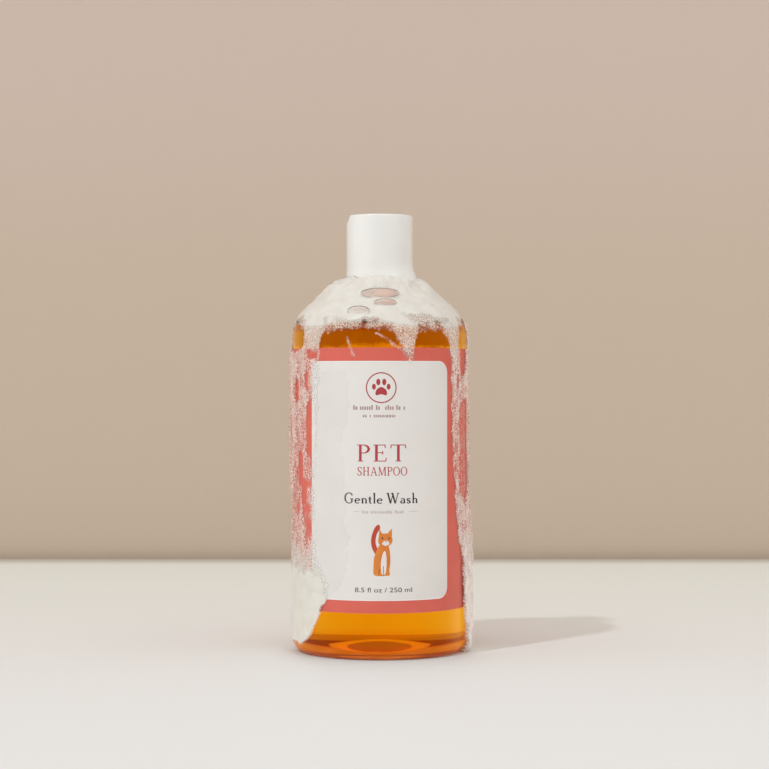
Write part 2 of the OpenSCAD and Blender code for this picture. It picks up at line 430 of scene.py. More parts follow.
clearPet = clearPlastic("clearPet", 1.18)
threadPet = clearPlastic("threadPet", 1.45)
shampooAmber = amberLiquid()
coralFilm = grainMaterial("coralFilm", (0.73, 0.132, 0.094), (0.69, 0.118, 0.084), 0.42, 1500, 0.12)
panelInk = grainMaterial("panelInk", (0.805, 0.77, 0.74), (0.785, 0.745, 0.715), 0.45, 1600)
# painted highlight: a thin bright line along the edge of the panel
panelEdgeHighlight = grainMaterial("panelEdgeHighlight", (0.90, 0.875, 0.85), (0.87, 0.84, 0.81), 0.4)
crimsonInk = grainMaterial("crimsonInk", (0.47, 0.045, 0.055), (0.42, 0.035, 0.048), 0.5)
darkInk = grainMaterial("darkInk", (0.022, 0.018, 0.018), (0.035, 0.028, 0.028), 0.5)
faintInk = grainMaterial("faintInk", (0.42, 0.26, 0.25), (0.47, 0.32, 0.30), 0.5)
greyInk = grainMaterial("greyInk", (0.56, 0.47, 0.45), (0.60, 0.52, 0.49), 0.5)
orangeInk = grainMaterial("orangeInk", (0.80, 0.27, 0.035), (0.66, 0.17, 0.02), 0.5, 700)
redInk = grainMaterial("redInk", (0.62, 0.075, 0.03), (0.48, 0.045, 0.02), 0.5, 700)
paleInk = grainMaterial("paleInk", (0.80, 0.42, 0.36), (0.76, 0.36, 0.30), 0.5)
capPlastic, wetFilm = (
    grainMaterial(name, (0.88, 0.865, 0.835), (0.86, 0.84, 0.81), 0.22, 160, 0.25, 0.0002,
                  Coat_Weight=0.35, Coat_Roughness=0.06) for name in ("capPlastic", "wetFilm"))
discPlastic = grainMaterial("discPlastic", (0.885, 0.88, 0.85), (0.86, 0.85, 0.82), 0.30, 1400, 0.2)
linerFoam = grainMaterial("linerFoam", (0.88, 0.87, 0.85), (0.80, 0.79, 0.77), 0.75, 2600, 0.6, 0.00006)
# the last colour of each is the painted bounce tint of thin lather
latherDense = latherMaterial("latherDense", 1150, 0.7, (0.80, 0.765, 0.71), (0.745, 0.705, 0.65),
                             (0.86, 0.72, 0.62))
latherLace = latherMaterial("latherLace", 1000, 0.6, (0.81, 0.78, 0.715), (0.76, 0.73, 0.66),
                            (0.91, 0.655, 0.585))
# painted light: the right run's lather is a lighter, pinker copy, lifting the shade on the side away from the
# sun
latherShadeSideLit = latherMaterial("latherShadeSideLit", 1000, 0.6, (0.97, 0.88, 0.83), (0.91, 0.82, 0.77),
                             (0.97, 0.735, 0.66))
# painted view: the window skin takes the pink of the shoulder and backdrop seen through the bubble
bubbleWindow = grainMaterial("bubbleWindow", (0.77, 0.56, 0.47), (0.69, 0.49, 0.41), 0.12, 200, 0.4, 0.0002,
                             covered=True)
# painted shade: the dark rim along the top of each large bubble
bubbleRimShade = grainMaterial("bubbleRimShade", (0.36, 0.27, 0.22), (0.52, 0.41, 0.35), 0.12, 200, 0.4, 0.0002,
                          covered=True)
wetSkin = grainMaterial("wetSkin", (0.86, 0.84, 0.81), (0.80, 0.77, 0.74), 0.08, 130, 0.9, 0.0008,
                        Alpha=0.09)
soapFilm = bubbleFilm()
print("materials made")


# The camera, level with the middle of the bottle

view = {"x": 1.63, "distance": 692, "height": 88.4, "lens": 97.2}
camera = bpy.data.objects.new("camera", bpy.data.cameras.new("camera"))
bpy.context.collection.objects.link(camera)
camera.location = (view["x"] * mm, -view["distance"] * mm, view["height"] * mm)
camera.rotation_euler = (math.radians(90), 0, 0)
camera.data.lens, camera.data.sensor_width = view["lens"], 36
camera.data.clip_start, camera.data.clip_end = 0.01, 20
bpy.context.scene.camera = camera


# The bottle

def baseDome(edge, rise, lift, steps=12):
    return [(edge * i / steps, lift + rise * (1 + math.cos(math.pi * i / steps)) / 2) for i in range(steps)]


def outside(s):
    edge, shoulderR = s["bodyR"] - s["heelR"] - s["footW"], s["neckR"] + s["neckFillet"]
    return baseDome(edge, s["pushUp"], 0) + [(edge, 0)] + \
        arc(s["bodyR"] - s["heelR"], s["heelR"], s["heelR"], s["heelR"], -90, 0) + \
        [(s["bodyR"], z) for z in range(10, 104, 10)] + \
        arc(shoulderR, s["shoulderZ"], s["bodyR"] - shoulderR, s["shoulderRise"], 0, 90, 40) + \
        arc(shoulderR, shoulderTop + s["neckFillet"], s["neckFillet"], s["neckFillet"], -90, -180)


def cavity(s, inset):
    edge, inside = s["bodyR"] - s["heelR"] - s["footW"], s["heelR"] - s["wall"] - inset
    return baseDome(edge, s["pushUp"], s["baseT"] + inset) + \
        arc(s["bodyR"] - s["heelR"], s["baseT"] + s["heelR"] - s["wall"], inside, inside, -90, 0) + \
        [(s["bodyR"] - s["wall"] - inset, z) for z in range(10, 104, 10)] + \
        arc(s["neckR"] + s["neckFillet"], s["shoulderZ"],
            s["bodyR"] - s["neckR"] - s["neckFillet"] - s["wall"] - inset,
            s["shoulderRise"] - s["wall"] - inset, 0, 90, 40)


def makeBottle():
    s = bottleSize
    bore, fillet, lip = s["neckR"] - s["neckWall"], s["neckFillet"] + s["neckWall"], 0.4
    bead = shoulderTop + s["beadZ"]
    outline = outside(s) + [
        (s["neckR"], bead), (s["beadR"], bead + 0.2), (s["beadR"], bead + 0.8), (s["neckR"], bead + 1)] + \
        arc(s["neckR"] - lip, neckTop - lip, lip, lip, 0, 90, 4) + \
        arc(bore + lip, neckTop - lip, lip, lip, 90, 180, 4) + \
        arc(bore + fillet, shoulderTop - s["wall"] + fillet, fillet, fillet, 180, 270) + cavity(s, 0)[::-1]
    settle(turned("bottle_shell", outline), clearPet, stands=["bottle"])


def makeNeckThread():
    # one section of the thread is drawn beside the neck and wound up it, and its ends fade into the wall
    thread = {"pitch": 3.175, "turns": 1.5, "stands": 1.1, "root": 1.0, "crest": 0.45, "sunk": 0.3, "fade": 40,
              "below": 2.5, "steps": 54}
    root, crestR = bottleSize["neckR"] - thread["sunk"], bottleSize["neckR"] + thread["stands"]
    low = neckTop - thread["below"] - thread["turns"] * thread["pitch"]
    section = [(root, -thread["root"]), (crestR, -thread["crest"]), (crestR, thread["crest"]),
               (root, thread["root"])]
    piece = newMesh("neck_thread", [(r * mm, 0, (low + z) * mm) for r, z in section], [(0, 1, 2, 3)])
    screw = piece.modifiers.new("wind", "SCREW")
    screw.angle = math.radians(360 * thread["turns"])
    screw.screw_offset = thread["pitch"] * thread["turns"] * mm
    screw.steps = screw.render_steps = thread["steps"]
    screw.use_merge_vertices = False
    bpy.ops.object.modifier_apply(modifier="wind")
    for v in piece.data.vertices:
        r = math.hypot(v.co.x, v.co.y)
        if r < (root + 0.1) * mm:
            continue
        turn = math.atan2(v.co.y, v.co.x)
        rise = (v.co.z / mm - low) / thread["pitch"]
        whole = round(rise - turn / (2 * math.pi))
        along = (whole * 2 * math.pi + turn) / math.radians(thread["fade"])
        left = (thread["turns"] * 2 * math.pi) / math.radians(thread["fade"]) - along
        keep = max(0.02, min(1, along, left))
        shrink = (root * mm + (r - root * mm) * keep) / r
        v.co.x, v.co.y = v.co.x * shrink, v.co.y * shrink
    editAll()
    bpy.ops.mesh.fill_holes(sides=0)
    bpy.ops.mesh.select_all(action="SELECT")
    bpy.ops.mesh.normals_make_consistent(inside=False)
    leaveEdit()
    settle(piece, threadPet, 30)


def makeShampoo():
    # the liquid reaches a little way into the wall, so that light passes from one to the other with no gap
    s, level, inset = bottleSize, shoulderTop - bottleSize["headspace"], -0.12
    outline = [(r, z) for r, z in cavity(s, inset) if z < level - 0.05]
    edge = s["neckR"] + s["neckFillet"]
    side = math.sqrt(1 - ((level - s["shoulderZ"]) / (s["shoulderRise"] - s["wall"] - inset)) ** 2)
    rim = edge + (s["bodyR"] - edge - s["wall"] - inset) * side
    outline += [(rim, level + 0.25), (rim - 0.35, level + 0.06), (rim - 1.0, level), (rim / 2, level),
                (0, level)]
    settle(turned("shampoo_fill", outline), shampooAmber, 50, ["shampoo"])


def makeLabel():
    label = {"low": 15.2, "high": 100.2, "inner": 28.78, "seam": 6, "sunk": 0.03, "proud": 0.09}
    low, high, inner = label["low"], label["high"], label["inner"]
    film = [(inner, low), (filmR, low)] + [(filmR, low + (high - low) * i / 16) for i in range(1, 16)] + \
        [(filmR, high), (inner, high), (inner, low)]
    settle(turned("label_film", film), coralFilm, stands=["wrap_label"])
    sweep, under, over = math.degrees(label["seam"] / inner), filmR - label["sunk"], filmR + label["proud"]
    flap = [(under, low), (over, low), (over, high), (under, high), (under, low)]
    settle(turned("label_seam", flap, 8, sweep, 90), coralFilm)


makeBottle()
makeNeckThread()
makeShampoo()
makeLabel()
print("bottle, shampoo and label made")


# Printing on the label: flat shapes in mm, x along the film from the middle of the front and z up

def rolled(piece, ink, lift=0.045, step=1.5, centre=0.0):
    # the flat print is cut into upright strips and rolled round the film
    pick(piece)
    editAll()
    bpy.ops.mesh.quads_convert_to_tris(quad_method="BEAUTY", ngon_method="BEAUTY")
    xs = [v.co.x for v in piece.data.vertices]
    for i in range(math.ceil(min(xs) / mm / step), math.floor(max(xs) / mm / step) + 1):
        bpy.ops.mesh.select_all(action="SELECT")
        bpy.ops.mesh.bisect(plane_co=(i * step * mm, 0, 0), plane_no=(1, 0, 0))
    leaveEdit()
    r = (filmR + lift) * mm
    for v in piece.data.vertices:
        angle = v.co.x / (filmR * mm) + math.radians(centre)
        v.co = Vector((r * math.sin(angle), -r * math.cos(angle), v.co.z))
    editFaces(piece, facesIn)
    bpy.ops.mesh.flip_normals()
    leaveEdit()
    return settle(piece, ink, 60)


def printed(name, outlines, ink, **settings):
    points, faces = [], []
    for outline in outlines:
        faces.append(range(len(points), len(points) + len(outline)))
        points += [(x * mm, 0, z * mm) for x, z in outline]
    return rolled(newMesh(name, points, faces), ink, **settings)


def block(x, z, w, h):
    return [(x, z), (x + w, z), (x + w, z + h), (x, z + h)]


def stroke(points, widths):
    # a pen stroke as a row of four-sided pieces, each width taken across the way the pen moves
    if isinstance(widths, (int, float)):
        widths = [widths] * len(points)
    sides = []
    for i, (x, z) in enumerate(points):
        ax, az = points[max(i - 1, 0)]
        bx, bz = points[min(i + 1, len(points) - 1)]
        length = math.hypot(bx - ax, bz - az) or 1
        nx, nz = -(bz - az) / length * widths[i] / 2, (bx - ax) / length * widths[i] / 2
        sides.append(((x + nx, z + nz), (x - nx, z - nz)))
    return [[a[1], b[1], b[0], a[0]] for a, b in zip(sides, sides[1:])]


def letterShape(letter, thin, thick):
    # roman letters, the capitals one unit high, with thin serifs; each comes with its width
    top, foot, narrow = 1 - thin / 2, thin / 2, thick * 0.9

    def line(x1, z1, x2, z2, w=thin):
        return stroke([(x1, z1), (x2, z2)], w)

    def stem(x, w=thick, low=0.0, high=1.0):
        return line(x, low, x, high, w)

    def serif(x, z, half=0.14):
        return line(x - half, z, x + half, z)

    def bowl(cx, cz, rx, rz, a, b, steps=14, w=thick):
        return stroke(arc(cx, cz, rx, rz, a, b, steps),
                      [thin + (w - thin) * abs(math.cos(math.radians(a + (b - a) * i / steps))) ** 1.5
                       for i in range(steps + 1)])

    arch = bowl(0.28, 0.32, 0.15, 0.15, 150, 0, 10, narrow) + stem(0.43, narrow, 0, 0.32) + \
        serif(0.13, foot, 0.09) + serif(0.43, foot, 0.09)
    tall = stem(0.13, narrow) + line(0.03, top, 0.13, top)
    shapes = {
        "P": (stem(0.16) + serif(0.17, foot) + serif(0.10, top, 0.10) + bowl(0.30, 0.74, 0.27, 0.24, 90, -90) +
              line(0.16, top, 0.31, top) + line(0.16, 0.5, 0.31, 0.5), 0.62),
        "E": (stem(0.16) + line(0.02, top, 0.58, top) + line(0.02, foot, 0.62, foot) +
              line(0.16, 0.52, 0.46, 0.52) + line(0.57, 1, 0.59, 0.80) + line(0.60, 0, 0.64, 0.22) +
              line(0.46, 0.62, 0.46, 0.42), 0.68),
        "T": (stem(0.38) + serif(0.38, foot) + line(0.02, top, 0.74, top) + line(0.03, 1, 0.01, 0.78) +
              line(0.73, 1, 0.75, 0.78), 0.76),
        "S": (bowl(0.30, 0.755, 0.215, 0.22, 35, 200) +
              stroke([(0.098, 0.68), (0.16, 0.57), (0.36, 0.44), (0.46, 0.33)], [thick * 0.95] + [thick] * 3) +
              bowl(0.26, 0.25, 0.235, 0.23, 20, -150) + line(0.49, 0.92, 0.49, 0.72) +
              line(0.05, 0.30, 0.05, 0.08), 0.56),
        "H": (stem(0.16) + stem(0.64) + line(0.16, 0.52, 0.64, 0.52) + serif(0.16, foot) + serif(0.64, foot) +
              serif(0.16, top) + serif(0.64, top), 0.80),
        "A": (line(0.12, 0, 0.40, 1) + line(0.40, 1, 0.70, 0, thick) + line(0.22, 0.36, 0.58, 0.36) +
              serif(0.12, foot, 0.11) + serif(0.69, foot, 0.13), 0.82),
        "M": (line(0.12, 0, 0.15, 1) + line(0.15, 1, 0.46, 0.03, thick) + line(0.46, 0.03, 0.76, 1) +
              line(0.80, 1, 0.83, 0, thick) + serif(0.12, foot, 0.11) + serif(0.83, foot, 0.13) +
              serif(0.10, top, 0.08) + serif(0.84, top, 0.09), 0.96),
        "O": (bowl(0.40, 0.5, 0.34, 0.49, 0, 360, 36), 0.80),
        "G": (bowl(0.42, 0.5, 0.36, 0.49, 42, 318, 24) + line(0.68, 0.92, 0.68, 0.72) +
              stem(0.67, narrow, 0.10, 0.42) + serif(0.66, 0.42), 0.84),
        "W": (line(0.10, 1, 0.34, 0, thick) + line(0.34, 0, 0.53, 0.86) + line(0.48, 1, 0.74, 0, thick) +
              line(0.74, 0, 0.98, 1) + serif(0.10, top, 0.11) + serif(0.48, top, 0.11) +
              serif(0.98, top, 0.10), 1.08),
        "e": (bowl(0.25, 0.235, 0.195, 0.225, 12, 318, 20, narrow) + line(0.07, 0.28, 0.44, 0.28), 0.49),
        "n": (stem(0.13, narrow, 0, 0.47) + line(0.03, 0.45, 0.13, 0.45) + arch, 0.55),
        "h": (tall + arch, 0.55),
        "l": (tall + serif(0.13, foot, 0.09), 0.26),
        "t": (stem(0.13, narrow, 0.12, 0.64) + line(0.01, 0.44, 0.28, 0.44) +
              bowl(0.22, 0.12, 0.09, 0.10, 180, 310, 8, narrow), 0.32),
        "a": (bowl(0.23, 0.33, 0.14, 0.13, 0, 150, 10, narrow) + stem(0.37, narrow, 0.03, 0.33) +
              bowl(0.21, 0.135, 0.145, 0.12, 70, 330, 14, narrow) + line(0.36, 0.04, 0.46, 0.03), 0.48),
        "s": (bowl(0.21, 0.345, 0.125, 0.11, 25, 200, 10, narrow) +
              stroke([(0.095, 0.31), (0.16, 0.26), (0.27, 0.20), (0.33, 0.14)], narrow) +
              bowl(0.20, 0.125, 0.135, 0.11, 10, -155, 10, narrow) + line(0.32, 0.45, 0.32, 0.35) +
              line(0.07, 0.14, 0.07, 0.04), 0.42),
    }
    return shapes.get(letter, ([], 0.20))


def word(letters, height, width, z, thin, thick, broad=1.0):
    # the letters are spread to the width asked for, and the word is centred
    glyphs = [letterShape(letter, thin, thick) for letter in letters]
    glyphs = [([[(px * broad, pz) for px, pz in shape] for shape in shapes], w * broad)
              for shapes, w in glyphs]
    gap = (width / height - sum(w for _, w in glyphs)) / max(1, len(glyphs) - 1)
    outlines, x = [], -width / height / 2
    for shapes, w in glyphs:
        outlines += [[((x + px) * height, z + pz * height) for px, pz in shape] for shape in shapes]
        x += w + gap
    return outlines


def textLine(name, words, height, z, ink, centre, width):
    clearSelection()
    bpy.ops.object.text_add(rotation=(math.radians(90), 0, 0))
    piece = named(name)
    piece.data.body, piece.data.align_x, piece.data.size = words, "CENTER", 1.0
    piece.data.resolution_u = 4
    bpy.ops.object.convert(target="MESH")
    piece = bpy.context.object
    xs, zs = [v.co.x for v in piece.data.vertices], [v.co.y for v in piece.data.vertices]
    tall = height / (max(zs) - min(0, min(zs))) * mm
    piece.scale = (width * mm / (max(xs) - min(xs)), tall, 1)
    piece.location = (0, 0, z * mm)
    applyPlace()
    return rolled(piece, ink, centre=centre)


def greekLine(dice, width, height, z, x=None):
    # a row of small blocks of uneven width, where the real one has fine wording
    blocks, at = [], 0.0
    while at < width:
        w = dice.choice((0.35, 0.5, 0.5, 0.65))
        if dice.random() > 0.14:
            tall = height * dice.choice((0.72, 0.72, 1.0))
            blocks.append((at, w, tall))
        at += w + 0.24
    shift = -at / 2 if x is None else x
    return [block(shift + a, z, w, tall) for a, w, tall in blocks]


def smoothLoop(points, steps=6):
    # a closed curve through the points

    def pull(a, b, c, d, t):
        return 0.5 * (2 * b + (c - a) * t + (2 * a - 5 * b + 4 * c - d) * t ** 2 +
                      (3 * b - a - 3 * c + d) * t ** 3)

    loop = []
    for i in range(len(points)):
        near = [points[(i + k) % len(points)] for k in (-1, 0, 1, 2)]
        loop += [tuple(pull(*(p[k] for p in near), j / steps) for k in (0, 1)) for j in range(steps)]
    return loop


def makePanel():
    # the pale panel: a rectangle with its corners rounded
    panel = {"low": 19.4, "high": 95.8, "half": 24.7, "corner": 3.6, "border": 0.3}
    low, high, half, corner = panel["low"], panel["high"], panel["half"], panel["corner"]
    clearSelection()
    bpy.ops.mesh.primitive_plane_add(size=1, rotation=(math.radians(90), 0, 0),
                                     location=(0, 0, (low + high) / 2 * mm))
    piece = named("label_panel")
    piece.scale = (2 * half * mm, (high - low) * mm, 1)
    applyPlace()
    editAll()
    bpy.ops.mesh.bevel(affect="VERTICES", offset=corner * mm, segments=10)
    leaveEdit()
    rolled(piece, panelInk, lift=0.02, step=1.25)
    # a thin painted highlight along the panel's edge
    border = []
    for x, z, turn in ((half, high, 0), (-half, high, 90), (-half, low, 180), (half, low, 270)):
        border += arc(x - math.copysign(corner, x), z - math.copysign(corner, z - 50), corner, corner,
                      turn, turn + 90, 8)
    printed("label_panel_border", stroke(border + [border[0]], panel["border"]), panelEdgeHighlight, lift=0.035)


def makeFrontPrint():
    ring = stroke(arc(0.6, 87.4, 4.75, 4.75, 0, 360, 48), 0.36)
    paw = [smoothLoop([(0.6, 87.6), (2.2, 86.6), (2.3, 85.0), (0.6, 85.3), (-1.1, 85.0), (-1.0, 86.6)])]
    for x, z, w, h in ((-1.75, 87.7, 0.62, 0.95), (-0.35, 89.2, 0.66, 1.05), (1.55, 89.2, 0.66, 1.05),
                       (2.95, 87.7, 0.62, 0.95)):
        paw.append(arc(x, z, w, h, 0, 345, 16))
    printed("label_emblem", ring + paw, crimsonInk)
    dice = random.Random(4)
    printed("label_small_lines", greekLine(dice, 17, 1.5, 80.3) + greekLine(dice, 10.5, 1.1, 77.9), faintInk)
    printed("label_word_pet", word("PET", 5.4, 15.8, 63.8, 0.05, 0.13, 1.22), crimsonInk, centre=1.4)
    printed("label_word_shampoo", word("SHAMPOO", 2.75, 16.2, 59.3, 0.06, 0.12), crimsonInk, centre=1.9)
    printed("label_word_gentle", word("Gentle Wash", 3.35, 24.2, 50.4, 0.07, 0.14, 1.14), darkInk, centre=1.2)
    rules = [block(-8.2, 47.7, 1.6, 0.14), block(9.6, 47.7, 3.2, 0.14)]
    printed("label_rules", rules + greekLine(dice, 13.5, 0.95, 47.2, -5.6), greyInk)
    textLine("label_content", "8.5 fl oz / 250 ml", 1.5, 22.0, darkInk, 2.8, 18.6)


def makeCatFigure():
    # a plain sitting cat: body, head with ears, and a tail curled up beside it
    tail = [(-0.5, 33.2), (-2.3, 36.0), (-2.6, 39.2), (-1.5, 42.6), (-0.2, 43.6), (0.2, 42.5), (-0.9, 40.4),
            (-1.2, 37.8), (-0.3, 35.2), (0.4, 33.6)]
    body = [(-1.7, 27.6), (-1.9, 30.2), (-1.6, 33.4), (-0.4, 36.4), (0.9, 37.6), (2.6, 37.4), (3.3, 35.2),
            (3.5, 32.0), (3.2, 29.0), (3.3, 27.5), (2.0, 27.3), (0.6, 27.2)]
    head = [(-0.3, 38.0), (-0.2, 39.6), (0.4, 40.6), (1.5, 40.8), (2.7, 40.7), (3.6, 40.2), (4.2, 38.8),
            (3.7, 37.4), (2.2, 36.7), (0.5, 36.9)]
    ears = [[(-0.15, 39.4), (0.9, 40.7), (0.0, 42.4)], [(2.6, 40.8), (4.0, 39.7), (4.0, 42.4)]]
    chest = [(0.7, 28.0), (0.5, 31.6), (1.2, 34.6), (2.0, 34.9), (2.3, 31.6), (1.9, 28.0)]
    muzzle = [(0.9, 37.4), (1.3, 38.2), (2.1, 38.5), (2.9, 38.2), (3.2, 37.5), (2.1, 36.9)]
    face = [arc(1.0, 39.3, 0.24, 0.30, 0, 330, 10), arc(3.1, 39.3, 0.24, 0.30, 0, 330, 10),
            [(1.85, 38.3), (2.35, 38.3), (2.1, 37.95)]]
    legs = stroke([(1.25, 27.4), (1.3, 30.4)], 0.16) + stroke([(-0.2, 27.5), (0.0, 29.4)], 0.16)
    printed("label_cat_tail", [smoothLoop(tail)], redInk)
    printed("label_cat", [smoothLoop(body), smoothLoop(head)] + ears, orangeInk, lift=0.055)
    printed("label_cat_white", [smoothLoop(chest), smoothLoop(muzzle)], panelInk, lift=0.065)
    printed("label_cat_marks", face + legs, darkInk, lift=0.075)


def makeSidePrint():
    # fine wording beside the panel and on the back, as plain blocks
    side = {"centre": 71, "low": 51, "tall": 31, "columns": 4, "apart": 1.75}
    dice = random.Random(9)
    for name, way in (("label_right_print", 1), ("label_left_print", -1)):
        blocks = []
        for column in range(side["columns"]):
            z = side["low"]
            while z < side["low"] + side["tall"]:
                tall = dice.choice((0.5, 0.7, 0.9))
                if dice.random() > 0.15:
                    blocks.append(block((column - side["columns"] / 2) * side["apart"], z, 1.0, tall))
                z += tall + 0.3
        printed(name, blocks, paleInk, centre=side["centre"] * way)
    lines = []
    for i in range(13):
        lines += greekLine(dice, 34 - (i % 4 == 3) * 12, 1.2, 84 - i * 3.1 - (i > 3) * 3 - (i > 8) * 3, -18.5)
    printed("label_back_print", lines, paleInk, centre=158)


makePanel()
makeFrontPrint()
makeCatFigure()
makeSidePrint()
print("label printed")


# The cap

for name, node, finish, slot, body in (("cap_outer", "cap_shell", capPlastic, "white_cap", "cap_body"),
                                       ("cap_top_disc", "cap_disc", discPlastic, "white_disc", "disc_body"),
                                       ("foam_liner", "seal_liner", linerFoam, "liner_foam", "liner_body")):
    settle(smoothCopy(name, node), finish, 32, [node], body)
print("cap made")


# The lather: sheets that follow the outside of the bottle, thick where they are well covered

def outerPath():
    # radius and height, a step at a time from the table up to the cap, and the length so far
    line = arc(24.75, 4.13, 4.13, 4.13, -72, 0, 12) + [(filmR, 5 + i) for i in range(0, 99)] + \
        arc(10.4, 104, 18.40, 14.65, 2, 88, 60) + \
        [(10.9, 118.7), (11.02, 119.6), (11.02, 122), (11.02, 126), (11.02, 134)]
    lengths = [0.0]
    for a, b in zip(line, line[1:]):
        lengths.append(lengths[-1] + math.hypot(b[0] - a[0], b[1] - a[1]))
    return line, lengths


pathLine, pathLengths = outerPath()


def pathAt(t):
    # radius, height and outward direction at a length along the path
    low, high = 0, len(pathLengths) - 2
    while low < high:
        middle = (low + high + 1) // 2
        if pathLengths[middle] <= t:
            low = middle
        else:
            high = middle - 1
    a, b = pathLine[low], pathLine[low + 1]
    span = pathLengths[low + 1] - pathLengths[low]
    k = max(0.0, min(1.0, (t - pathLengths[low]) / span))
    return a[0] + (b[0] - a[0]) * k, a[1] + (b[1] - a[1]) * k, (b[1] - a[1]) / span, -(b[0] - a[0]) / span


def lengthAt(z):
    for i, (p, q) in enumerate(zip(pathLine, pathLine[1:])):
        if p[1] <= z <= q[1]:
            return pathLengths[i] + (pathLengths[i + 1] - pathLengths[i]) * (z - p[1]) / max(1e-6, q[1] - p[1])
    return pathLengths[-1]


def ripple(x, z, size, seed):
    return noise.noise(Vector((x / size, z / size, seed * 7.3)))


def smoothBlend(value, low, high):
    t = max(0.0, min(1.0, (value - low) / (high - low)))
    return t * t * (3 - 2 * t)


def between(table, at):
    # the value of a row of (place, value) at a place
    for (a, va), (b, vb) in zip(table, table[1:]):
        if a <= at <= b:
            return va + (vb - va) * smoothBlend(at, a, b)
    return table[0][1] if at < table[0][0] else table[-1][1]


def faceOut(piece):
    # an open sheet is turned over if it faces the bottle
    if facesIn(piece.data.polygons[len(piece.data.polygons) // 2]):
        editAll()
        bpy.ops.mesh.flip_normals()
        leaveEdit()


def setPoints(piece, name, values):
    piece.data.attributes.new(name, "FLOAT", "POINT").data.foreach_set("value", values)


def latherSheet(name, material, angles, heights, cell, amount, seed):
    # a grid laid along the surface, lifted by the lather's depth, with its empty parts taken away
    least, base, seam, capFoot = 0.06, 0.1, 0.004 * mm, 119.3
    low, high = lengthAt(heights[0]), lengthAt(heights[1])
    rows = max(4, round((high - low) / cell))
    columns = max(6, round(math.radians(angles[1] - angles[0]) * filmR / cell))
    piece = newGrid(name, columns, rows)
    covers, bounceWarmths = [], []
    for v in piece.data.vertices:
        angle = angles[0] + (angles[1] - angles[0]) * (v.co.x + 1) / 2
        r, z, nr, nz = pathAt(low + (high - low) * (v.co.y + 1) / 2)
        turn = math.radians(angle)
        cover, deep = amount(angle, z, r)
        around = Vector((r * math.sin(turn), -r * math.cos(turn), z))
        lumps = noise.noise(around / 4.5 + Vector((seed, 0, 0))) + \
            0.5 * noise.noise(around / 1.9 + Vector((0, seed, 0)))
        cover += 0.26 * noise.noise(around / 2.6 + Vector((0, 0, seed))) * min(1, max(0, cover) * 3)
        covers.append(max(0, min(1, cover)))
        # on the pale panel the lather gets no painted bounce tint
        bounceWarmths.append(1 - smoothBlend(-abs(angle), -49.5, -47.5) * smoothBlend(z, 18.5, 19.5) *
                     smoothBlend(-z, -96.5, -95.5))
        fade = smoothBlend(cover, 0.05, 0.55)
        deep = max(least, base + deep * fade * (1 + 0.28 * lumps) + 0.07 * lumps * fade)
        out = r + nr * deep
        if z + nz * deep > capFoot:
            out = max(out, capR + 0.1)
        if v.co.y > 0.9 and r < 15:
            out += (capR + 0.06 - out) * smoothBlend(v.co.y, 0.9, 1.0)  # the top row closes on the cap
        v.co = Vector((out * math.sin(turn), -out * math.cos(turn), max(0.1, z + nz * deep))) * mm
    setPoints(piece, "cover", covers)
    setPoints(piece, "bounceWarmth", bounceWarmths)
    editFaces(piece, lambda face: all(covers[i] < 0.045 for i in face.vertices))
    bpy.ops.mesh.delete(type="FACE")
    bpy.ops.mesh.select_all(action="SELECT")
    bpy.ops.mesh.remove_doubles(threshold=seam)
    leaveEdit()
    faceOut(piece)
    return settle(piece, material, 180)


def spot(angle, z, holes, r=28.9, ragged=0.45):
    # how much the holes take away here: each is (angle, height, half width in mm, half height, amount)
    x = math.radians(angle) * r
    dx = ragged * (ripple(x / 1.8, z / 3.5, 1, 11) + 0.6 * ripple(x / 0.8, z / 1.2, 1, 12))
    dz = ragged * 1.6 * ripple(x / 1.4, z / 2.5, 1, 13)
    cut = 0.0
    for a, h, wide, tall, amount in holes:
        d = (abs((x - math.radians(a) * r + dx) / wide) ** 3 + abs((z - h + dz) / tall) ** 3) ** (1 / 3)
        cut = max(cut, amount * (1 - smoothBlend(d, 0.65, 1.25)))
    return cut


# the collar of lather on the shoulder: its lower edge by angle, and the holes in it
collar = {
    "edge": [(-180, 101.5), (-150, 99.5), (-120, 103), (-95, 106), (-80, 107.5), (-68, 108.5), (-60, 107),
             (-54, 101), (-47, 99), (-42.5, 101), (-40.5, 104.6), (-37, 105.8), (-25, 106.5), (-12, 106.9),
             (2, 106.6), (9, 105.8), (14, 101), (18, 97.5), (22, 98.2), (24, 103.8), (27, 106.2), (43, 106.5),
             (48, 104.2), (55, 98), (61, 101), (66, 107.5), (80, 108.5), (95, 105), (120, 102), (150, 100),
             (180, 101.5)],
    "holes": [(30, 109.6, 5.5, 1.4, 0.42), (46, 109.0, 4, 1.2, 0.34), (-34, 109.4, 4, 1.0, 0.2),
              (-6, 108.8, 3.0, 0.9, 0.3)],
    "back": (95, 125), "lace": (105.6, 108.6), "depth": (0.4, 4.5), "deepens": (-23, -11),
}


def collarAmount(angle, z, r):
    edge = between(collar["edge"], angle) + 0.7 * ripple(angle / 4, 0, 1, 3)
    back = smoothBlend(abs(angle), *collar["back"])
    cover = min(0.26 + 0.8 * smoothBlend(z, edge + 0.4, edge + 3.6 - 2 * back),
                0.43 + 0.67 * smoothBlend(z, *collar["lace"]) + back)
    cover *= smoothBlend(z, edge - 1.2, edge + 0.3)
    cover -= spot(angle, z, collar["holes"], r)
    return cover, collar["depth"][0] + collar["depth"][1] * smoothBlend(-r, *collar["deepens"])


